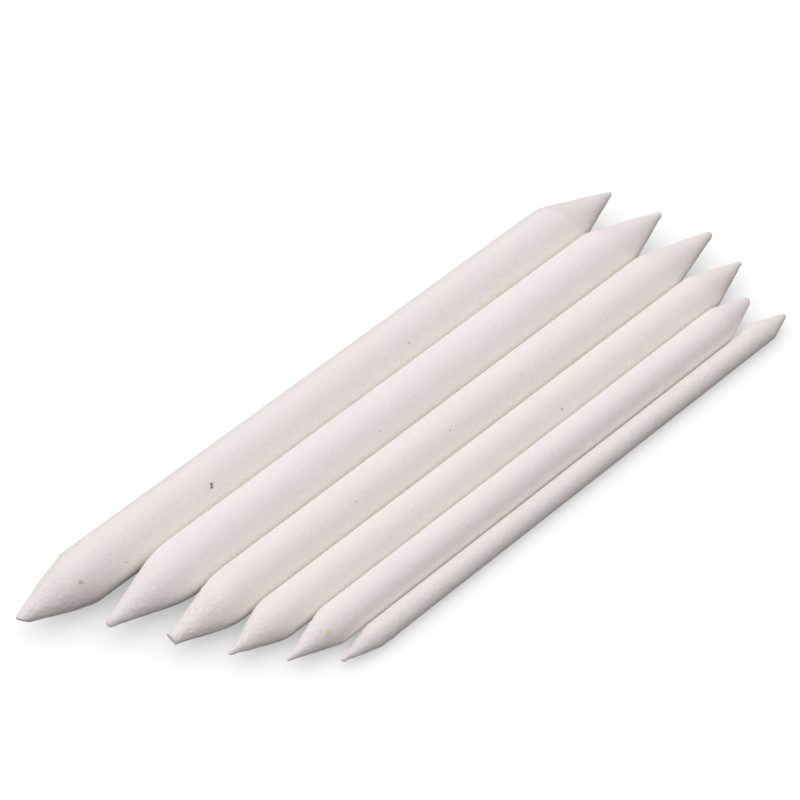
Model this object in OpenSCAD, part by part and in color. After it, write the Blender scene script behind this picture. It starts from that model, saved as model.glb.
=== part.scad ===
// Set of six double-ended paper blending stumps, lying side by side.
// Each stump is a tight roll of soft paper. A thin outer sheet goes round it and is pasted down
// along a lapped seam, and both ends are then ground to a cone.
// The row lies along X on the plane Z = 0, with its front ends towards -X and the thickest
// stump, number 6, on the +Y side. The origin is the centre of the row's footprint.
// All lengths are in millimetres.

/* [Row] */
// Clear gap between neighbouring barrels
side_gap = 0.05; // [0.05:0.05:3]

/* [Paper] */
// Thickness of the outer sheet
wrap_t = 0.2; // [0.1:0.05:0.3]
// Thickness of the paste layer under the outer sheet
paste_t = 0.01; // [0.01:0.01:0.05]
// Part of the turn that the lap along the seam covers, in degrees
lap_angle = 22; // [10:1:24]
// Distance from each end of the barrel to the end of the lap
lap_inset = 0.5; // [0:0.1:3]
// Direction of the seam, turned about +X from +Y, so that 270 points down
seam_angle = 315; // [312:1:320]
// Rounding of the tips' edges
tip_edge_r = 0.35; // [0.1:0.05:0.4]

/* [Stump 6] */
// Barrel diameter of stump 6, the thickest
d6 = 13; // [12.9:0.1:14]
// X of the front tip
front6 = -94; // [-100:0.5:-90]
// Length from tip to tip
length6 = 179.5; // [170:0.5:190]
// Length of the front cone
front_cone6 = 15.2; // [7:0.1:24]
// Length of the rear cone
rear_cone6 = 17; // [7:0.1:24]
// Radius of the flat on the front tip
front_tip6 = 0.9; // [0:0.05:1.5]
// Radius of the flat on the rear tip
rear_tip6 = 0.1; // [0:0.05:1.5]

/* [Stump 5] */
// Barrel diameter of stump 5
d5 = 12.9; // [11.6:0.1:12.9]
// X of the front tip
front5 = -81; // [-88:0.5:-76]
// Length from tip to tip
length5 = 170; // [160:0.5:180]
// Length of the front cone
front_cone5 = 17.6; // [7:0.1:24]
// Length of the rear cone
rear_cone5 = 17.8; // [7:0.1:24]
// Radius of the flat on the front tip
front_tip5 = 0.4; // [0:0.05:1.5]
// Radius of the flat on the rear tip
rear_tip5 = 0.3; // [0:0.05:1.5]

/* [Stump 4] */
// Barrel diameter of stump 4
d4 = 11.5; // [9.9:0.1:11.6]
// X of the front tip
front4 = -73.5; // [-80:0.5:-70]
// Length from tip to tip
length4 = 167.5; // [160:0.5:175]
// Length of the front cone
front_cone4 = 14.2; // [7:0.1:24]
// Length of the rear cone
rear_cone4 = 19.3; // [7:0.1:24]
// Radius of the flat on the front tip
front_tip4 = 1.0; // [0:0.05:1.5]
// Radius of the flat on the rear tip
rear_tip4 = 0.4; // [0:0.05:1.5]

/* [Stump 3] */
// Barrel diameter of stump 3
d3 = 9.8; // [9.1:0.1:9.8]
// X of the front tip
front3 = -67; // [-72:0.5:-62]
// Length from tip to tip
length3 = 159.5; // [150:0.5:165]
// Length of the front cone
front_cone3 = 12.2; // [7:0.1:24]
// Length of the rear cone
rear_cone3 = 13.7; // [7:0.1:24]
// Radius of the flat on the front tip
front_tip3 = 0.0; // [0:0.05:1.5]
// Radius of the flat on the rear tip
rear_tip3 = 0.0; // [0:0.05:1.5]

/* [Stump 2] */
// Barrel diameter of stump 2
d2 = 8.8; // [6:0.1:9]
// X of the front tip
front2 = -59; // [-64:0.5:-54]
// Length from tip to tip
length2 = 144.5; // [135:0.5:150]
// Length of the front cone
front_cone2 = 12.6; // [7:0.1:24]
// Length of the rear cone
rear_cone2 = 10.8; // [7:0.1:24]
// Radius of the flat on the front tip
front_tip2 = 0.0; // [0:0.05:1.5]
// Radius of the flat on the rear tip
rear_tip2 = 0.4; // [0:0.05:1.5]

/* [Stump 1] */
// Barrel diameter of stump 1, the thinnest
d1 = 5.6; // [4:0.1:5.9]
// X of the front tip
front1 = -50; // [-55:0.5:-45]
// Length from tip to tip
length1 = 139.5; // [130:0.5:145]
// Length of the front cone
front_cone1 = 9.2; // [7:0.1:24]
// Length of the rear cone
rear_cone1 = 7.3; // [7:0.1:24]
// Radius of the flat on the front tip
front_tip1 = 0.15; // [0:0.05:1.5]
// Radius of the flat on the rear tip
rear_tip1 = 0.25; // [0:0.05:1.5]

/* [Hidden] */
$fn = 96;
// Steps round the edge of each tip
tip_steps = 6;

core_colour = [0.92, 0.89, 0.89];
wrap_colour = [0.95, 0.93, 0.93];

// Barrel diameter, tip-to-tip length, cone lengths and tip flats of each stump
size6 = [d6, length6, front_cone6, rear_cone6, front_tip6, rear_tip6];
size5 = [d5, length5, front_cone5, rear_cone5, front_tip5, rear_tip5];
size4 = [d4, length4, front_cone4, rear_cone4, front_tip4, rear_tip4];
size3 = [d3, length3, front_cone3, rear_cone3, front_tip3, rear_tip3];
size2 = [d2, length2, front_cone2, rear_cone2, front_tip2, rear_tip2];
size1 = [d1, length1, front_cone1, rear_cone1, front_tip1, rear_tip1];

// Distance between the axes of two neighbours. It is at least the sum of their radii, so that
// either one can be lifted straight up past the other.
function pitch(da, db) = (da + db) / 2 + side_gap;

row_w = d6 + d5 + d4 + d3 + d2 + d1 + 5 * side_gap;
y6 = (row_w - d6) / 2;
y5 = y6 - pitch(d6, d5);
y4 = y5 - pitch(d5, d4);
y3 = y4 - pitch(d4, d3);
y2 = y3 - pitch(d3, d2);
y1 = y2 - pitch(d2, d1);

// Half angle of a cone whose side runs from a barrel of radius r tangent into the tip's edge
function cone_slope(r, length, flat_r) =
    atan2(r - flat_r, length - tip_edge_r)
    - asin(tip_edge_r / norm([length - tip_edge_r, r - flat_r]));

// How far past the shoulder the cone's side has come in by a depth
function side_run(depth, r, length, flat_r) = depth / tan(cone_slope(r, length, flat_r));

// Half outline of one ground end, from a cut at core_r on the cone's side to the tip's centre.
// The shoulder is at X = 0 and the tip points along +X.
function end_points(r, core_r, length, flat_r) =
    let (slope = cone_slope(r, length, flat_r))
    concat([[side_run(r - core_r, r, length, flat_r), core_r]],
           [for (i = [0:tip_steps])
               let (a = slope + (90 - slope) * i / tip_steps)
               [length - tip_edge_r, flat_r] + tip_edge_r * [sin(a), cos(a)]],
           flat_r > 0 ? [[length, 0]] : []);

// The same points for an end that points along -X, in reverse order
function mirrored(points) = [for (i = [len(points) - 1:-1:0]) [-points[i][0], points[i][1]]];

function moved(points, x) = [for (p = points) p + [x, 0]];

// Turns a half outline that lies along +X into a solid along +X, starting from the +Y side
module turn_along_x(angle = 360) {
    rotate([90, 0, 0]) rotate([0, 90, 0])
        rotate_extrude(angle = angle) mirror([1, -1]) children();
}

// The wound and pasted roll inside the outer sheet, with both ground cones
module core(size) {
    r = size[0] / 2;
    core_r = r - wrap_t - paste_t;
    front_end = mirrored(end_points(r, core_r, size[2], size[4]));
    rear_end = end_points(r, core_r, size[3], size[5]);
    color(core_colour) turn_along_x()
        polygon(concat(moved(front_end, size[2]), moved(rear_end, size[1] - size[3])));
}

// The outer sheet: a tube with ends ground in line with the cones, and the lap along its seam
module wrap(size) {
    r = size[0] / 2;
    front = size[2];
    rear = size[1] - size[3];
    front_run = side_run(wrap_t, r, size[2], size[4]);
    rear_run = side_run(wrap_t, r, size[3], size[5]);
    color(wrap_colour) {
        turn_along_x()
            polygon([[front - front_run, r - wrap_t], [front, r],
                     [rear, r], [rear + rear_run, r - wrap_t]]);
        rotate([seam_angle - lap_angle / 2, 0, 0]) turn_along_x(lap_angle)
            translate([front + lap_inset, r - wrap_t / 2])
                square([rear - front - 2 * lap_inset, 1.5 * wrap_t]);
    }
}

module stump6_core() { translate([front6, y6, d6 / 2]) core(size6); }
module stump6_wrap() { translate([front6, y6, d6 / 2]) wrap(size6); }
module stump5_core() { translate([front5, y5, d5 / 2]) core(size5); }
module stump5_wrap() { translate([front5, y5, d5 / 2]) wrap(size5); }
module stump4_core() { translate([front4, y4, d4 / 2]) core(size4); }
module stump4_wrap() { translate([front4, y4, d4 / 2]) wrap(size4); }
module stump3_core() { translate([front3, y3, d3 / 2]) core(size3); }
module stump3_wrap() { translate([front3, y3, d3 / 2]) wrap(size3); }
module stump2_core() { translate([front2, y2, d2 / 2]) core(size2); }
module stump2_wrap() { translate([front2, y2, d2 / 2]) wrap(size2); }
module stump1_core() { translate([front1, y1, d1 / 2]) core(size1); }
module stump1_wrap() { translate([front1, y1, d1 / 2]) wrap(size1); }

stump6_core();
stump6_wrap();
stump5_core();
stump5_wrap();
stump4_core();
stump4_wrap();
stump3_core();
stump3_wrap();
stump2_core();
stump2_wrap();
stump1_core();
stump1_wrap();
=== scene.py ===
"""Looks for a set of six paper blending stumps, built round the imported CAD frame.

Each stump has two pieces. The roll is the wound paper core, whose cones are ground to felt, and the
sheet is the thin outer wrap with its lapped seam. Work is done in millimetres and scaled to metres
when a mesh is made.
"""
import math

import bpy
import numpy as np
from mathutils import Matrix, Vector


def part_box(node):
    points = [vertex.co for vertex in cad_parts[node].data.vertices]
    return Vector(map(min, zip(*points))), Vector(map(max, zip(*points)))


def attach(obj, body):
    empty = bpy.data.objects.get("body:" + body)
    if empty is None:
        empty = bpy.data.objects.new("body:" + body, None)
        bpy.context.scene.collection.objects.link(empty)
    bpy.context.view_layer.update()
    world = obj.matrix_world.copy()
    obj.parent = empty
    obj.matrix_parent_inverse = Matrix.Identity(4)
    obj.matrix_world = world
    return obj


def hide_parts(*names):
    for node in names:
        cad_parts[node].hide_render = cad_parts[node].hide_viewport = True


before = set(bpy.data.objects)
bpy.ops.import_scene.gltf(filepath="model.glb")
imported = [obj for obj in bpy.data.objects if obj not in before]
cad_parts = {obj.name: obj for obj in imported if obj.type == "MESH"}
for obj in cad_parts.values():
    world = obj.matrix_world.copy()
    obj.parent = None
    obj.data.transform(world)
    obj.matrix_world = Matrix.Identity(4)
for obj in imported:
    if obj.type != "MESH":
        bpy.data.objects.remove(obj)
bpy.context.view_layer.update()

MM = 0.001

# The lap along the sheet's seam, in degrees about +X from +Y
SEAM_ANGLE = 315.0
LAP_ANGLE = 22.0

# How each end differs from a plain cone. Lengths are in millimetres and angles in degrees about +X
# from +Y.
#   shoulder  radius step over which the barrel and the cone blend
#   tip       radius of the cone where it meets the tip
#   nose      length of the rounding at the tip, and square, its exponent: 2 is round, 6 nearly flat
#   felt      height of the lumps that grinding leaves
#   lip       how proud the edge of the outer sheet stands
#   short     how far the tip stops short of the CAD's
#   skew      how much longer the cone is on its SKEW_ANGLE side than on average
#   bend      sideways shift of the tip as (y, z)
#   bumps     rings as (distance back from the tip, half width, height), negative for a neck
#   dents     the same on one side only, with that side's angle. A positive height is a swelling
#   cut       outward normal of a slanted cut across the tip, and depth, how far back it bites
SKEW_ANGLE = 30.0
FRONT = {
    6: dict(shoulder=0.6, tip=0.95, nose=0.35, square=2.4, felt=0.11, lip=0.02,
            short=-0.2, bend=(0.35, 0.0), bumps=[(14.2, 2.0, -0.22)],
            dents=[(1.6, 0.5, -0.10, 225)], cut=(-0.74, -0.47, -0.44), depth=0.42),
    5: dict(shoulder=1.2, tip=0.66, nose=0.65, square=2.0, felt=0.10, lip=0.02,
            short=-0.25, skew=0.5, bend=(-0.35, -0.25), bumps=[(1.2, 0.9, 0.06)]),
    4: dict(shoulder=1.0, tip=1.10, nose=0.15, square=4.0, felt=0.11, lip=0.02,
            short=-0.4, skew=1.2, bend=(-0.20, 0.0), bumps=[(0.0, 0.5, 0.16), (2.2, 1.0, -0.06)],
            dents=[(0.0, 0.5, 0.45, 50)], cut=(-0.94, 0.06, -0.34), depth=0.12),
    3: dict(shoulder=0.8, tip=0.33, nose=0.40, square=2.0, felt=0.09, lip=0.02,
            bumps=[(2.2, 1.2, -0.08)], dents=[(4.0, 2.2, -0.30, 30)]),
    2: dict(shoulder=0.45, tip=0.28, nose=0.45, square=2.0, felt=0.09, lip=0.05,
            bumps=[(2.2, 1.2, -0.05)], dents=[(3.8, 2.0, -0.25, 30)]),
    1: dict(shoulder=0.25, tip=0.33, nose=0.40, square=2.0, felt=0.08, lip=0.05,
            bumps=[(0.45, 0.42, 0.13), (1.5, 0.7, -0.08)],
            dents=[(3.2, 1.6, -0.15, 30), (12.6, 0.7, 0.16, 205)]),
}
REAR = {
    6: dict(shoulder=0.2, tip=0.45, nose=0.40, square=2.2, felt=0.03, lip=0.01,
            short=0.3, skew=2.1, bend=(-0.80, 0.0)),
    5: dict(shoulder=0.3, tip=0.62, nose=0.65, square=2.0, felt=0.03, lip=0.01,
            skew=2.2, bend=(-0.35, 0.0), bumps=[(3.2, 1.9, -0.10)]),
    4: dict(shoulder=0.3, tip=0.70, nose=0.80, square=2.0, felt=0.03, lip=0.01,
            short=0.6, skew=1.3, bend=(-0.15, 0.0)),
    3: dict(shoulder=0.4, tip=0.42, nose=0.40, square=2.2, felt=0.03, lip=0.01,
            short=0.2, skew=1.0, bend=(0.10, 0.0), bumps=[(0.4, 0.35, 0.08), (1.4, 0.7, -0.10)]),
    2: dict(shoulder=0.4, tip=0.85, nose=0.80, square=2.0, felt=0.03, lip=0.01,
            skew=-0.8, bend=(0.80, 0.0)),
    1: dict(shoulder=0.12, tip=0.48, nose=0.60, square=2.0, felt=0.02, lip=0.01,
            short=0.3, skew=1.0, bend=(-0.15, 0.0), dents=[(10.5, 2.2, 0.35, 30)]),
}


# ---------------------------------------------------------------- noise
# Keeps the lattice points above zero everywhere on the object
LATTICE_SHIFT = 1000.0


def lattice(ix, iy, iz, seed):
    """A repeatable value from -1 to 1 at each lattice point. Large odd numbers scramble its bits."""
    h = (ix * 374761393 + iy * 668265263 + iz * 2147483647 + seed * 974634777) & 0xFFFFFFFF
    h = ((h ^ (h >> 13)) * 1274126177) & 0xFFFFFFFF
    h = h ^ (h >> 16)
    return (h & 0xFFFFFF) / float(0x7FFFFF) - 1.0


def noise(points, scale, seed):
    """Smooth value noise from -1 to 1. scale is the size of a lump, one number or one per axis."""
    p = points / np.asarray(scale, float) + LATTICE_SHIFT
    cell = np.floor(p).astype(np.int64)
    f = p - cell
    f = f * f * f * (f * (f * 6 - 15) + 10)
    total = np.zeros(len(p))
    for dx in (0, 1):
        wx = f[:, 0] if dx else 1 - f[:, 0]
        for dy in (0, 1):
            wy = f[:, 1] if dy else 1 - f[:, 1]
            for dz in (0, 1):
                wz = f[:, 2] if dz else 1 - f[:, 2]
                corner = lattice(cell[:, 0] + dx, cell[:, 1] + dy, cell[:, 2] + dz, seed)
                total += wx * wy * wz * corner
    return total


def layered_noise(points, scale, seed, layers):
    """Noise with layers that are each half the size and strength of the one before."""
    total = np.zeros(len(points))
    strength = 1.0
    for i in range(layers):
        total += strength * noise(points, np.asarray(scale, float) / 2 ** i, seed + 31 * i)
        strength *= 0.5
    return total


def smoothstep(x):
    """Eases from 0 to 1 as x goes from 0 to 1."""
    x = np.clip(x, 0.0, 1.0)
    return x * x * (3 - 2 * x)


# ---------------------------------------------------------------- shape of one stump
# How felted the cones are: 1 is fully felted
FRONT_NAP = 1.0
REAR_NAP = 0.3
# How far the thickest roll strays from round, over what length, and how much it varies round the girth
OVAL_DEPTH = 0.035
OVAL_LENGTH = 22.0
OVAL_TURN = 1.1
OVAL_SEED = 40
THICKEST_R = 6.5
# Felt starts this far before the shoulder, and is full after this part of the cone
FELT_START = 1.5
FELT_RISE = 0.35
LUMP_SIZE = 1.7
LUMP_SHARE = 0.55
LUMP_SEED = 100
TUFT_SIZE = (0.75, 0.55, 0.55)
TUFT_SHARE = 0.45
TUFT_SEED = 200
# Felt weakens over this length before the tip, down to this share, and fades out below this radius
TIP_CALM = 1.2
TIP_FELT = 0.25
FELT_LEAST_R = 0.5
# How flat a cut across a tip is: 1 is a plane
CUT_FLATNESS = 0.93
# Above 1, a bend gathers towards the tip
BEND_POWER = 1.3
OUTLINE_SAMPLES = 4000
LEAST_STATIONS = 8


def measure_end(style, nap, toward_tip, tip_x, wrap_x, r, core_r):
    """One end's style, with the length, slope and shoulder that its CAD pieces give it."""
    run = abs(tip_x - wrap_x) - style.get("short", 0.0)
    slope = (core_r - style["tip"]) / run
    hidden = (r - core_r) / slope
    return dict(style, length=run + hidden, slope=slope, nap=nap,
                shoulder_x=wrap_x - toward_tip * hidden)


def measure(n):
    """Sizes of stump n in millimetres, read from its CAD nodes."""
    core_low, core_high = (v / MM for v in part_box(f"stump{n}_core"))
    wrap_low, wrap_high = (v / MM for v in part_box(f"stump{n}_wrap"))
    r = (wrap_high.z - wrap_low.z) / 2
    core_r = (core_high.z - core_low.z) / 2
    return {"n": n, "r": r, "core_r": core_r,
            "y": (core_low.y + core_high.y) / 2,
            "z": (core_low.z + core_high.z) / 2,
            "front": measure_end(FRONT[n], FRONT_NAP, -1, core_low.x, wrap_low.x, r, core_r),
            "rear": measure_end(REAR[n], REAR_NAP, 1, core_high.x, wrap_high.x, r, core_r)}


def end_of(s, side):
    """The front end for side -1, and the rear end for side 1."""
    return s["front"] if side < 0 else s["rear"]


def ring(t, end, back, width):
    """1 on a ring that lies a distance back from the tip, falling to 0 over a width."""
    return np.exp(-((t - end["length"] + back) / width) ** 2)


def end_radius(s, end, t):
    """Radius at distance t past the shoulder. Negative t is on the barrel."""
    line = s["r"] - end["slope"] * t
    blend = end["shoulder"]
    near = np.clip(blend - np.abs(line - s["r"]), 0, None) / blend
    radius = np.minimum(line, s["r"]) - near ** 2 * blend / 4
    for back, width, height in end.get("bumps", []):
        radius = radius + height * ring(t, end, back, width)
    u = np.clip((t - end["length"] + end["nose"]) / end["nose"], 0, 1)
    return np.maximum(radius, 0.0) * (1 - u ** end["square"]) ** (1 / end["square"])


def end_stations(s, end, start, step):
    """Distances past the shoulder, evenly spaced along the outline from start to just short of the tip."""
    fine = end["length"] - (end["length"] - start) * np.linspace(1, 0, OUTLINE_SAMPLES) ** 2
    run = np.hypot(np.diff(fine), np.diff(end_radius(s, end, fine)))
    travelled = np.concatenate([[0], np.cumsum(run)])
    count = max(LEAST_STATIONS, int(travelled[-1] / step))
    return np.interp(np.linspace(0, travelled[-1], count + 1)[:-1], travelled, fine)


def round_points(x, radius, theta):
    """Points about the stump's axis at the given radii and angles."""
    return np.stack([x, radius * np.cos(theta), radius * np.sin(theta)], axis=1)


def roundness(s, x, theta):
    """Slow variation of the radius from place to place, since a paper roll is never quite round."""
    places = np.stack([x / OVAL_LENGTH, np.cos(theta) * OVAL_TURN, np.sin(theta) * OVAL_TURN], axis=1)
    return OVAL_DEPTH * s["r"] / THICKEST_R * noise(places, 1.0, OVAL_SEED + s["n"])


def felt(s, end, t, points):
    """Height of the ground, felted surface above the plain cone."""
    grown = smoothstep((t + FELT_START) / (FELT_RISE * end["length"] + FELT_START))
    lumps = layered_noise(points, LUMP_SIZE, LUMP_SEED + s["n"], 3)
    tufts = 1 - 2 * np.abs(layered_noise(points, TUFT_SIZE, TUFT_SEED + s["n"], 2))
    return end["felt"] * grown * (LUMP_SHARE * lumps + TUFT_SHARE * tufts)


def cut_tip(end, side, tip, points):
    """Flattens the points that stand beyond a slanted cut across the tip."""
    if "cut" not in end:
        return points
    normal = np.array(end["cut"])
    normal = normal / np.linalg.norm(normal)
    centre = tip - np.array([side * end["depth"], 0, 0])
    beyond = np.clip((points - centre) @ normal, 0, None)
    return points - CUT_FLATNESS * beyond[:, None] * normal


def surface(s, side, t, theta, limit=None):
    """Points of the ground surface at distance t past the shoulder of one end, at most limit wide."""
    end = end_of(s, side)
    length = end["length"]
    x = end["shoulder_x"] + side * t
    side_length = length + end.get("skew", 0.0) * np.cos(theta - math.radians(SKEW_ANGLE))
    even = length - (length - t) * length / side_length
    radius = end_radius(s, end, even)
    full = smoothstep((length - t) / TIP_CALM)
    strength = TIP_FELT + (1 - TIP_FELT) * full
    lumps = felt(s, end, even, round_points(x, radius, theta))
    radius = radius + lumps * strength * np.minimum(radius / FELT_LEAST_R, 1)
    radius = radius + roundness(s, x, theta) * np.minimum(radius / s["r"], 1)
    for back, width, height, angle in end.get("dents", []):
        facing = np.clip(np.cos(theta - math.radians(angle)), 0, None) ** 2
        radius = radius + height * facing * ring(t, end, back, width)
    if limit is not None:
        radius = np.minimum(radius, limit)
    points = round_points(x, radius, theta)
    lean = np.clip(even / length, 0, 1) ** BEND_POWER
    bend = end.get("bend", (0.0, 0.0))
    points[:, 1] += lean * bend[0]
    points[:, 2] += lean * bend[1]
    tip = np.array([end["shoulder_x"] + side * length, *bend])
    return cut_tip(end, side, tip, points)


# ---------------------------------------------------------------- meshes
# The nap runs this steeply along a cone, and has this value at the shoulder before it is smoothed
NAP_RISE = 1.6
NAP_AT_SHOULDER = 0.45
ROLL_SHARP_ANGLE = 50.0
SHEET_SHARP_ANGLE = 35.0
# Spacing of the roll's points round its girth and along its outline, and how far it is meshed under
# the sheet
ROLL_SPACING = 0.21
ROLL_STEP = 0.17
ROLL_UNDER_SHEET = 4.0
# Spacing of the sheet's points round its girth and along the barrel
SHEET_SPACING = 0.3
BARREL_STEP = 1.6
# Length of the finely meshed part on the barrel at each end of the sheet, and its number of rings
EDGE_LENGTH = 6.0
EDGE_RINGS = 30
# Gap under the sheet, its thickness where it ends, and its least thickness
SHEET_GAP = 0.005
END_THICKNESS = 0.02
LEAST_THICKNESS = 0.01
# Parts of the finely meshed length over which the lip sinks and the lap and the grain grow
LIP_PART = 0.3
GRAIN_PART = 0.12
GRAIN_HEIGHT = 0.012
GRAIN_SIZE = (3.0, 0.8, 0.8)
GRAIN_SEED = 400
# The lap climbs over this part of its width to this share of the sheet's thickness. Its height wanders
# by this much over this length, and ends in a step this wide, in radians
LAP_CLIMB = 0.35
LAP_SHARE = 0.9
LAP_WANDER = 0.25
LAP_WANDER_LENGTH = 9.0
LAP_SEED = 70
LAP_STEP = (-0.001, 0.004)
# Where the end of the sheet is looked for, past the shoulder, and the widest break it may bridge
REACH_FROM = -5.0
REACH_TO = 6.0
REACH_STEP = 0.05
REACH_BREAK = 0.4


def make_mesh(name, s, points, faces, sharp_angle):
    """A mesh object from points in millimetres about the stump's axis."""
    front, rear = s["front"], s["rear"]
    past_front = (front["shoulder_x"] - points[:, 0]) / front["length"]
    past_rear = (points[:, 0] - rear["shoulder_x"]) / rear["length"]
    furthest = np.maximum(past_front * front["nap"], past_rear * rear["nap"])
    nap = smoothstep(furthest * NAP_RISE + NAP_AT_SHOULDER)
    mesh = bpy.data.meshes.new(name)
    placed = (points + np.array([0.0, s["y"], s["z"]])) * MM
    mesh.from_pydata(placed.tolist(), [], faces)
    mesh.update()
    mesh.polygons.foreach_set("use_smooth", [True] * len(mesh.polygons))
    mesh.set_sharp_from_angle(angle=math.radians(sharp_angle))
    mesh.attributes.new("nap", "FLOAT", "POINT").data.foreach_set("value", nap)
    obj = bpy.data.objects.new(name, mesh)
    bpy.context.scene.collection.objects.link(obj)
    return obj


def grid_faces(rings, count, first=0, flip=False):
    """Quads between neighbouring rings of count points each."""
    faces = []
    for i in range(rings - 1):
        a = first + i * count
        b = a + count
        for j in range(count):
            k = (j + 1) % count
            quad = (b + j, b + k, a + k, a + j)
            faces.append(quad[::-1] if flip else quad)
    return faces


def even_angles(s, spacing):
    """Even angles round a stump, about spacing apart on its surface."""
    count = int(2 * math.pi * s["r"] / spacing)
    return np.arange(count) * 2 * math.pi / count


def roll_mesh(s):
    """The wound core: both felted cones and the barrel that the sheet hides."""
    angles = even_angles(s, ROLL_SPACING)
    count = len(angles)
    parts = []
    for side in (-1, 1):
        stations = end_stations(s, end_of(s, side), -ROLL_UNDER_SHEET, ROLL_STEP)
        if side < 0:
            stations = stations[::-1]
        t = np.repeat(stations, count)
        theta = np.tile(angles, len(stations))
        parts.append(surface(s, side, t, theta, limit=s["core_r"]))
    points = np.concatenate(parts)
    rings = len(points) // count
    faces = grid_faces(rings, count)
    poles = [points[:count].mean(axis=0), points[-count:].mean(axis=0)]
    front_pole = len(points)
    rear_pole = front_pole + 1
    points = np.concatenate([points, poles])
    last = (rings - 1) * count
    for j in range(count):
        k = (j + 1) % count
        faces.append((j, k, front_pole))
        faces.append((last + k, last + j, rear_pole))
    return make_mesh(f"stump{s['n']}_roll", s, points, faces, ROLL_SHARP_ANGLE)


def lap_height(s, theta, x):
    """How far the lapped edge of the sheet stands proud. It climbs slowly and ends in a step."""
    sheet = s["r"] - s["core_r"]
    degrees = np.degrees(theta)
    inside = (degrees - (SEAM_ANGLE - LAP_ANGLE / 2)) / LAP_ANGLE
    climb = smoothstep(inside / LAP_CLIMB) * (inside <= 1.0)
    places = np.stack([x / LAP_WANDER_LENGTH, theta * 0, theta * 0], axis=1)
    wander = 1 + LAP_WANDER * noise(places, 1.0, LAP_SEED + s["n"])
    return LAP_SHARE * sheet * climb * wander


def sheet_reach(s, side, angles, edge_r):
    """How far past the shoulder the surface still stands outside radius edge_r, at each angle."""
    reach = np.full(len(angles), REACH_FROM)
    for t in np.arange(REACH_FROM, REACH_TO, REACH_STEP):
        points = surface(s, side, angles * 0 + t, angles)
        outside = np.hypot(points[:, 1], points[:, 2]) > edge_r
        reach = np.where(outside & (reach > t - REACH_BREAK), t, reach)
    return reach


def sheet_angles(s):
    """Even angles round the sheet, with two more on either side of the lap's free edge."""
    free_edge = math.radians(SEAM_ANGLE + LAP_ANGLE / 2)
    beside_edge = [free_edge + step for step in LAP_STEP]
    return np.sort(np.append(even_angles(s, SHEET_SPACING), beside_edge))


def sheet_stations(s):
    """Rings of the sheet as (side, u). side is 0 on the barrel. At the ends, u is 0 on the sheet's edge."""
    barrel = s["rear"]["shoulder_x"] - s["front"]["shoulder_x"]
    edge = np.linspace(0, 1, EDGE_RINGS)
    middle = np.linspace(0, 1, int(barrel / BARREL_STEP))[1:-1]
    return [(-1, u) for u in edge] + [(0, u) for u in middle] + [(1, u) for u in edge[::-1]]


def bare_ring(s, side, u, angles, reach):
    """One ring of the ground outline, before the sheet's own lip, lap and grain."""
    if side == 0:
        start = s["front"]["shoulder_x"]
        barrel = s["rear"]["shoulder_x"] - start
        x = start + EDGE_LENGTH + u * (barrel - 2 * EDGE_LENGTH) + angles * 0
        return round_points(x, s["r"] + roundness(s, x, angles), angles)
    return surface(s, side, reach[side] - u * (reach[side] + EDGE_LENGTH), angles)


def outer_ring(s, side, u, angles, reach, inner_r):
    """One ring of the sheet's outside."""
    points = bare_ring(s, side, u, angles, reach)
    radial = np.hypot(points[:, 1], points[:, 2])
    target = np.maximum(radial, inner_r + LEAST_THICKNESS)
    grown = 1.0
    if side:
        target = target + end_of(s, side)["lip"] * smoothstep((LIP_PART - u) / LIP_PART)
        grown = smoothstep(u / GRAIN_PART)
    grain = GRAIN_HEIGHT * layered_noise(points, GRAIN_SIZE, GRAIN_SEED + s["n"], 2)
    target = target + grown * (lap_height(s, angles, points[:, 0]) + grain)
    points[:, 1:] *= (target / radial)[:, None]
    return points


def sheet_mesh(s):
    """The outer sheet: a thin tube that follows the ground outline, with ragged ends and a lap."""
    angles = sheet_angles(s)
    count = len(angles)
    inner_r = s["core_r"] + SHEET_GAP
    reach = {side: sheet_reach(s, side, angles, inner_r + END_THICKNESS) for side in (-1, 1)}
    outer = [outer_ring(s, side, u, angles, reach, inner_r) for side, u in sheet_stations(s)]
    inner = [round_points(end_ring[:, 0], inner_r, angles) for end_ring in (outer[0], outer[-1])]
    points = np.concatenate(outer + inner)

    faces = grid_faces(len(outer), count)
    front_inner = len(outer) * count
    rear_inner = front_inner + count
    faces += grid_faces(2, count, first=front_inner, flip=True)
    last = front_inner - count
    for j in range(count):
        k = (j + 1) % count
        faces.append((k, front_inner + k, front_inner + j, j))
        faces.append((rear_inner + j, rear_inner + k, last + k, last + j))
    return make_mesh(f"stump{s['n']}_sheet", s, points, faces, SHEET_SHARP_ANGLE)


# ---------------------------------------------------------------- materials
# Painted bounce light: a warm tint painted on the paper in the grooves between neighbours, and a faint
# painted glow in their deepest part. Both stand in for light thrown between the sticks. The depth is how
# far off a neighbour still counts.
GROOVE_BOUNCE_TINT = (0.975, 0.930, 0.895)
GROOVE_DEPTH = 6.0
GROOVE_PAINTED_GLOW = 0.06
GROOVE_SAMPLES = 8
# Openness from which the tint and the glow start, and at which they are full
TINT_OPENNESS = (0.95, 0.40)
GLOW_OPENNESS = (0.28, 0.0)
# Heights above the table between which both fade in
GROOVE_HEIGHTS = (1.0, 3.0)

PAPER_ROUGHNESS = 0.9
PAPER_SPECULAR = 0.2
# Two kinds of faint cloud in the paper, as factors on its tint
CREAM = (0.995, 0.995, 0.955)
LILAC = (0.99, 0.97, 0.995)
# How much darker streaks and mottling are, and how deep the painted shade in the pits of the felt is
STREAK_SHADE = 0.05
MOTTLE_SHADE = 0.08
PIT_PAINTED_SHADE = 0.11
# Noise values between which each of these comes in
CREAM_RANGE = (0.42, 0.68)
LILAC_RANGE = (0.45, 0.70)
STREAK_RANGE = (0.5, 0.8)
MOTTLE_RANGE = (0.5, 0.75)
PIT_RANGE = (0.46, 0.70)
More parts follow.
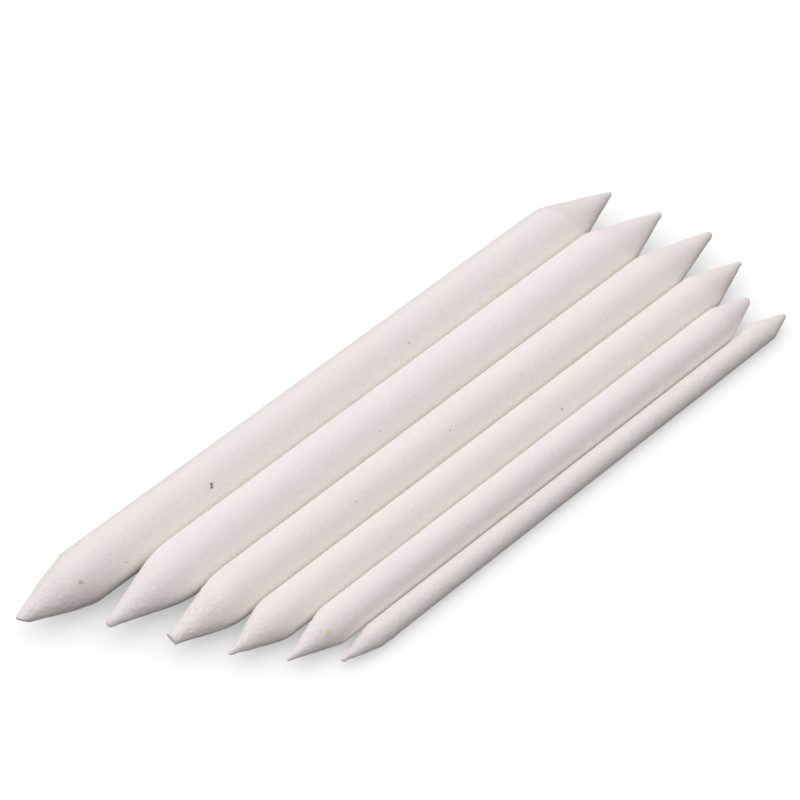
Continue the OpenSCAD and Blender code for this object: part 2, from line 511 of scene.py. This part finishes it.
# Noise textures in lumps per millimetre. A stretch over 1 packs lumps closer along that axis
CREAM_NOISE = dict(scale=0.07, stretch=(0.7, 1.6, 1.6), detail=2)
LILAC_NOISE = dict(scale=0.055, stretch=(1.0, 1.8, 1.8), detail=2)
STREAK_NOISE = dict(scale=2.2, stretch=(0.3, 1, 1), detail=3)
MOTTLE_NOISE = dict(scale=3.0, detail=4, rough=0.7)
PIT_NOISE = dict(scale=1.5, detail=5, rough=0.7)
SPECK_NOISE = dict(scale=1.6, detail=3, rough=0.7)
DIMPLE_NOISE = dict(scale=0.75, stretch=(1.2, 0.8, 0.8), detail=3, rough=0.5)
GRAIN_NOISE = dict(scale=1.4, stretch=(1.3, 0.8, 0.8), detail=5, rough=0.65)
FIBRE_NOISE = dict(scale=3.6, detail=3, rough=0.65)
# Height of each kind of relief in millimetres, on smooth and on felted paper
DIMPLE_RELIEF = (0.14, 0.06)
GRAIN_RELIEF = (0.24, 0.25)
FIBRE_RELIEF = (0.018, 0.065)
# A speck's ragged edge, in radii: how far noise moves it, and where its colour starts and is full
SPECK_RAGGED = -1.4
SPECK_FADE = (0.35, -0.1)


class NodeKit:
    """Short ways of adding shader nodes to one material. position is in millimetres."""

    def __init__(self, material):
        material.use_nodes = True
        self.nodes = material.node_tree.nodes
        self.links = material.node_tree.links
        place = self.nodes.new("ShaderNodeTexCoord")
        in_mm = self.nodes.new("ShaderNodeVectorMath")
        in_mm.operation = "SCALE"
        in_mm.inputs["Scale"].default_value = 1 / MM
        self.links.new(place.outputs["Object"], in_mm.inputs[0])
        self.position = in_mm.outputs[0]

    def texture(self, scale, stretch=(1, 1, 1), detail=3.0, rough=0.5):
        mapping = self.nodes.new("ShaderNodeMapping")
        mapping.inputs["Scale"].default_value = stretch
        self.links.new(self.position, mapping.inputs["Vector"])
        tex = self.nodes.new("ShaderNodeTexNoise")
        tex.inputs["Scale"].default_value = scale
        tex.inputs["Detail"].default_value = detail
        tex.inputs["Roughness"].default_value = rough
        self.links.new(mapping.outputs[0], tex.inputs["Vector"])
        return tex.outputs["Fac"]

    def ramp(self, value, low=0.0, high=1.0, bottom=0.0, top=1.0):
        """Runs from bottom to top as value goes from low to high."""
        node = self.nodes.new("ShaderNodeMapRange")
        node.inputs["From Min"].default_value = low
        node.inputs["From Max"].default_value = high
        node.inputs["To Min"].default_value = bottom
        node.inputs["To Max"].default_value = top
        self.links.new(value, node.inputs["Value"])
        return node.outputs[0]

    def product(self, a, b):
        node = self.nodes.new("ShaderNodeMath")
        node.operation = "MULTIPLY"
        self.links.new(a, node.inputs[0])
        self.links.new(b, node.inputs[1])
        return node.outputs[0]

    def blend(self, colour, factor, low, high, other):
        """Mixes colour towards other as factor runs from low to high."""
        mix = self.nodes.new("ShaderNodeMix")
        mix.data_type = "RGBA"
        self.links.new(self.ramp(factor, low, high), mix.inputs["Factor"])
        self.links.new(colour, mix.inputs[6])
        mix.inputs[7].default_value = (*other, 1.0)
        return mix.outputs[2]

    def bump(self, noise_settings, nap, heights, under=None):
        """Relief from a noise texture, with one height on smooth paper and another on felt."""
        node = self.nodes.new("ShaderNodeBump")
        height = self.ramp(nap, bottom=heights[0] * MM, top=heights[1] * MM)
        self.links.new(height, node.inputs["Distance"])
        self.links.new(self.texture(**noise_settings), node.inputs["Height"])
        if under is not None:
            self.links.new(under, node.inputs["Normal"])
        return node.outputs[0]


def speck_places(s, specks):
    """Where each flaw sits at rest, as (centre, radius, colour), in millimetres."""
    places = []
    for x, degrees, radius, colour in specks:
        angle = math.radians(degrees)
        depth = s["r"]
        for side in (-1, 1):
            end = end_of(s, side)
            past = side * (x - end["shoulder_x"])
            if past > 0:
                depth = float(end_radius(s, end, np.array(past)))
        centre = Vector((x, s["y"] + depth * math.cos(angle), s["z"] + depth * math.sin(angle)))
        places.append((centre, radius, colour))
    return places


def tinted(tint, factors):
    return tuple(t * f for t, f in zip(tint, factors))


def shaded(tint, amount):
    return tuple(t * (1 - amount) for t in tint)


def clean_paper(kit, tint, nap):
    """The colour of paper without flaws: faint clouds, streaks and mottling, with painted shade in the pits
    of the felt.
    """
    base = kit.nodes.new("ShaderNodeRGB")
    base.outputs[0].default_value = (*tint, 1.0)
    colour = base.outputs[0]
    colour = kit.blend(colour, kit.texture(**CREAM_NOISE), *CREAM_RANGE, tinted(tint, CREAM))
    colour = kit.blend(colour, kit.texture(**LILAC_NOISE), *LILAC_RANGE, tinted(tint, LILAC))
    streaks = kit.texture(**STREAK_NOISE)
    colour = kit.blend(colour, streaks, *STREAK_RANGE, shaded(tint, STREAK_SHADE))
    mottle = kit.texture(**MOTTLE_NOISE)
    colour = kit.blend(colour, mottle, *MOTTLE_RANGE, shaded(tint, MOTTLE_SHADE))
    # Painted shade: the pits of the felt are darkened in colour, the more so where the paper is felted
    pits = kit.product(kit.texture(**PIT_NOISE), nap)
    return kit.blend(colour, pits, *PIT_RANGE, shaded(tint, PIT_PAINTED_SHADE))


def with_specks(kit, colour, specks):
    """Adds ragged spots to a colour."""
    ragged = kit.texture(**SPECK_NOISE)
    for centre, radius, flaw in specks:
        away = kit.nodes.new("ShaderNodeVectorMath")
        away.operation = "DISTANCE"
        away.inputs[1].default_value = centre
        kit.links.new(kit.position, away.inputs[0])
        wander = kit.nodes.new("ShaderNodeMath")
        wander.operation = "MULTIPLY_ADD"
        wander.inputs[1].default_value = SPECK_RAGGED * radius
        kit.links.new(ragged, wander.inputs[0])
        kit.links.new(away.outputs["Value"], wander.inputs[2])
        start, full = (radius * part for part in SPECK_FADE)
        colour = kit.blend(colour, wander.outputs[0], start, full, flaw)
    return colour


def paint_groove_bounce(kit, colour, shader):
    """Gives the shader its colour with painted bounce light: a warm tint in the grooves between neighbours
    and a painted glow deepest in them.
    """
    openness = kit.nodes.new("ShaderNodeAmbientOcclusion")
    openness.samples = GROOVE_SAMPLES
    openness.inputs["Distance"].default_value = GROOVE_DEPTH * MM
    split = kit.nodes.new("ShaderNodeSeparateXYZ")
    kit.links.new(kit.position, split.inputs[0])
    above_table = kit.ramp(split.outputs["Z"], *GROOVE_HEIGHTS)
    # Masks for the painted bounce light in the grooves and the painted glow deepest in them
    bounce_mask = kit.product(kit.ramp(openness.outputs["AO"], *TINT_OPENNESS), above_table)
    glow_mask = kit.product(kit.ramp(openness.outputs["AO"], *GLOW_OPENNESS), above_table)
    kit.links.new(kit.blend(colour, bounce_mask, 0.0, 1.0, GROOVE_BOUNCE_TINT), shader.inputs["Base Color"])
    shader.inputs["Emission Color"].default_value = (*GROOVE_BOUNCE_TINT, 1.0)
    kit.links.new(kit.ramp(glow_mask, top=GROOVE_PAINTED_GLOW), shader.inputs["Emission Strength"])


def paper_material(name, tint, specks):
    """Uncoated paper. The mesh attribute "nap" runs from 0 on smooth barrels to 1 on felted cones."""
    mat = bpy.data.materials.new(name)
    kit = NodeKit(mat)
    shader = kit.nodes["Principled BSDF"]
    shader.inputs["Roughness"].default_value = PAPER_ROUGHNESS
    shader.inputs["Specular IOR Level"].default_value = PAPER_SPECULAR
    attribute = kit.nodes.new("ShaderNodeAttribute")
    attribute.attribute_name = "nap"
    nap = attribute.outputs["Fac"]
    # Painted bounce light and glow in the grooves go on top of the paper's colour and specks
    paint_groove_bounce(kit, with_specks(kit, clean_paper(kit, tint, nap), specks), shader)
    normal = kit.bump(DIMPLE_NOISE, nap, DIMPLE_RELIEF)
    normal = kit.bump(GRAIN_NOISE, nap, GRAIN_RELIEF, normal)
    normal = kit.bump(FIBRE_NOISE, nap, FIBRE_RELIEF, normal)
    kit.links.new(normal, shader.inputs["Normal"])
    return mat


# ---------------------------------------------------------------- stage
CAMERA_AZIMUTH = math.radians(-43.73)
CAMERA_ELEVATION = math.radians(50.78)
CAMERA_DISTANCE = 0.723
CAMERA_NEAREST = 0.01
LENS = 144.0
SENSOR = 36.0
TARGET = Vector((0.00945, 0.01634, 0.0))
# The floor looks white to the camera, and throws back less light than it shows
FLOOR_BOUNCE = (0.05, 0.05, 0.05)
FLOOR_SEEN = (0.93, 0.93, 0.93)
FLOOR_GLOW = 0.36
FLOOR_HALF_WIDTH = 3.0
# The only lamp, a soft one above the far side of the row
KEY_DIRECTION = (-0.05, 0.55, 0.83)
KEY_DISTANCE = 1.2
KEY_SIZE = 1.6
KEY_POWER = 5.0
# The room is brightest above the thickest stump's front end and dimmest low down past the rear end of
# the thinnest. It is at its dimmest where the cosine of the angle from its bright side is DIM_COSINE
# or less. Seen past the edge of the floor, it is white.
BRIGHT_SIDE = (-0.45, 0.38, 0.81)
DIM_COSINE = -0.45
ROOM_BRIGHTEST = 0.92
ROOM_DIMMEST = 0.45


def add_camera():
    data = bpy.data.cameras.new("camera")
    data.sensor_width = SENSOR
    data.lens = LENS
    data.clip_start = CAMERA_NEAREST
    back = Vector((math.sin(CAMERA_AZIMUTH) * math.cos(CAMERA_ELEVATION),
                   -math.cos(CAMERA_AZIMUTH) * math.cos(CAMERA_ELEVATION),
                   math.sin(CAMERA_ELEVATION)))
    cam = bpy.data.objects.new("camera", data)
    cam.location = TARGET + back * CAMERA_DISTANCE
    cam.rotation_euler = back.to_track_quat("Z", "Y").to_euler()
    bpy.context.scene.collection.objects.link(cam)
    bpy.context.scene.camera = cam


def add_area_light(name, direction, distance, size, power, lit):
    """A round lamp aimed at the origin that lights only the objects in lit."""
    data = bpy.data.lights.new(name, "AREA")
    data.shape = "DISK"
    data.size = size
    data.energy = power
    lamp = bpy.data.objects.new(name, data)
    toward = Vector(direction).normalized()
    lamp.location = toward * distance
    lamp.rotation_euler = toward.to_track_quat("Z", "Y").to_euler()
    receivers = bpy.data.collections.new(f"lit_by_{name}")
    for obj in lit:
        receivers.objects.link(obj)
    lamp.light_linking.receiver_collection = receivers
    bpy.context.scene.collection.objects.link(lamp)


def floor_material():
    mat = bpy.data.materials.new("floor_white")
    mat.use_nodes = True
    nodes, links = mat.node_tree.nodes, mat.node_tree.links
    shader = nodes["Principled BSDF"]
    shader.inputs["Roughness"].default_value = 1.0
    shader.inputs["Specular IOR Level"].default_value = 0.0
    rays = nodes.new("ShaderNodeLightPath")
    tone = nodes.new("ShaderNodeMix")
    tone.data_type = "RGBA"
    tone.inputs[6].default_value = (*FLOOR_BOUNCE, 1)
    tone.inputs[7].default_value = (*FLOOR_SEEN, 1)
    links.new(rays.outputs["Is Camera Ray"], tone.inputs["Factor"])
    links.new(tone.outputs[2], shader.inputs["Base Color"])
    glow = nodes.new("ShaderNodeMath")
    glow.operation = "MULTIPLY"
    glow.inputs[1].default_value = FLOOR_GLOW
    links.new(rays.outputs["Is Camera Ray"], glow.inputs[0])
    shader.inputs["Emission Color"].default_value = (1, 1, 1, 1)
    links.new(glow.outputs[0], shader.inputs["Emission Strength"])
    return mat


def add_floor():
    half = FLOOR_HALF_WIDTH
    mesh = bpy.data.meshes.new("floor")
    corners = [(-half, -half, 0), (half, -half, 0), (half, half, 0), (-half, half, 0)]
    mesh.from_pydata(corners, [], [(0, 1, 2, 3)])
    mesh.materials.append(floor_material())
    floor = bpy.data.objects.new("floor", mesh)
    bpy.context.scene.collection.objects.link(floor)


def set_world():
    world = bpy.data.worlds.new("studio")
    world.use_nodes = True
    nodes, links = world.node_tree.nodes, world.node_tree.links
    background = nodes["Background"]
    background.inputs["Color"].default_value = (1.0, 1.0, 1.0, 1)
    place = nodes.new("ShaderNodeTexCoord")
    facing = nodes.new("ShaderNodeVectorMath")
    facing.operation = "DOT_PRODUCT"
    facing.inputs[1].default_value = BRIGHT_SIDE
    links.new(place.outputs["Generated"], facing.inputs[0])
    strength = nodes.new("ShaderNodeMapRange")
    strength.inputs["From Min"].default_value = DIM_COSINE
    strength.inputs["From Max"].default_value = 1.0
    strength.inputs["To Min"].default_value = ROOM_DIMMEST
    strength.inputs["To Max"].default_value = ROOM_BRIGHTEST
    links.new(facing.outputs["Value"], strength.inputs["Value"])
    rays = nodes.new("ShaderNodeLightPath")
    seen = nodes.new("ShaderNodeMix")
    links.new(rays.outputs["Is Camera Ray"], seen.inputs["Factor"])
    links.new(strength.outputs[0], seen.inputs["A"])
    seen.inputs["B"].default_value = 1.0
    links.new(seen.outputs["Result"], background.inputs["Strength"])
    bpy.context.scene.world = world


# ---------------------------------------------------------------- build
# The paper's own colour, which differs a little from stick to stick
TINTS = {
    6: (0.905, 0.830, 0.830),
    5: (0.920, 0.846, 0.856),
    4: (0.920, 0.848, 0.836),
    3: (0.920, 0.850, 0.833),
    2: (0.915, 0.838, 0.843),
    1: (0.910, 0.844, 0.836),
}
# Flaws in the paper as (x, angle, radius, colour), in millimetres and degrees
BROWN = (0.14, 0.06, 0.03)
GREY = (0.60, 0.53, 0.51)
OCHRE = (0.50, 0.36, 0.20)
STAIN = (0.66, 0.53, 0.38)
HALO = (0.86, 0.79, 0.68)
PALE_STAIN = (0.81, 0.75, 0.56)
BLUSH = (0.88, 0.80, 0.77)
WHITE = (0.98, 0.97, 0.96)
SPECKS = {
    6: [(-43.3, 131, 0.42, BROWN), (-42.9, 126, 0.42, BROWN), (-69, 150, 0.22, BROWN),
        (-80, 135, 1.2, HALO), (-79.9, 129.5, 0.42, STAIN), (-79.7, 133, 0.34, STAIN),
        (-80.2, 131.5, 0.30, STAIN), (16, 131, 0.25, BROWN)],
    5: [(-45, 155, 0.25, GREY), (-6, 138, 0.22, GREY)],
    4: [(-23, 121, 0.22, GREY), (5.5, 121, 0.25, GREY), (28, 119, 0.22, GREY),
        (33, 153, 0.25, OCHRE)],
    3: [(29, 139, 0.30, OCHRE)],
    2: [(-49, 130, 0.9, PALE_STAIN), (-43.5, 131, 0.30, WHITE)],
    1: [(24, 78, 0.25, GREY), (-40, 120, 0.8, BLUSH), (-34, 118, 0.7, BLUSH)],
}


def add_piece(obj, paper, body, node):
    """Puts a finished piece on its body, in place of its CAD node."""
    obj.data.materials.append(paper)
    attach(obj, body)
    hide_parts(node)
    return obj


pieces = []
for number, tint in TINTS.items():
    stump = measure(number)
    body = f"stump{number}"
    paper = paper_material(f"paper_{number}", tint, speck_places(stump, SPECKS[number]))
    pieces.append(add_piece(roll_mesh(stump), paper, body, f"{body}_core"))
    pieces.append(add_piece(sheet_mesh(stump), paper, body, f"{body}_wrap"))

add_floor()
add_area_light("key", KEY_DIRECTION, KEY_DISTANCE, KEY_SIZE, KEY_POWER, pieces)
set_world()
add_camera()
bpy.context.scene.view_settings.view_transform = "Standard"
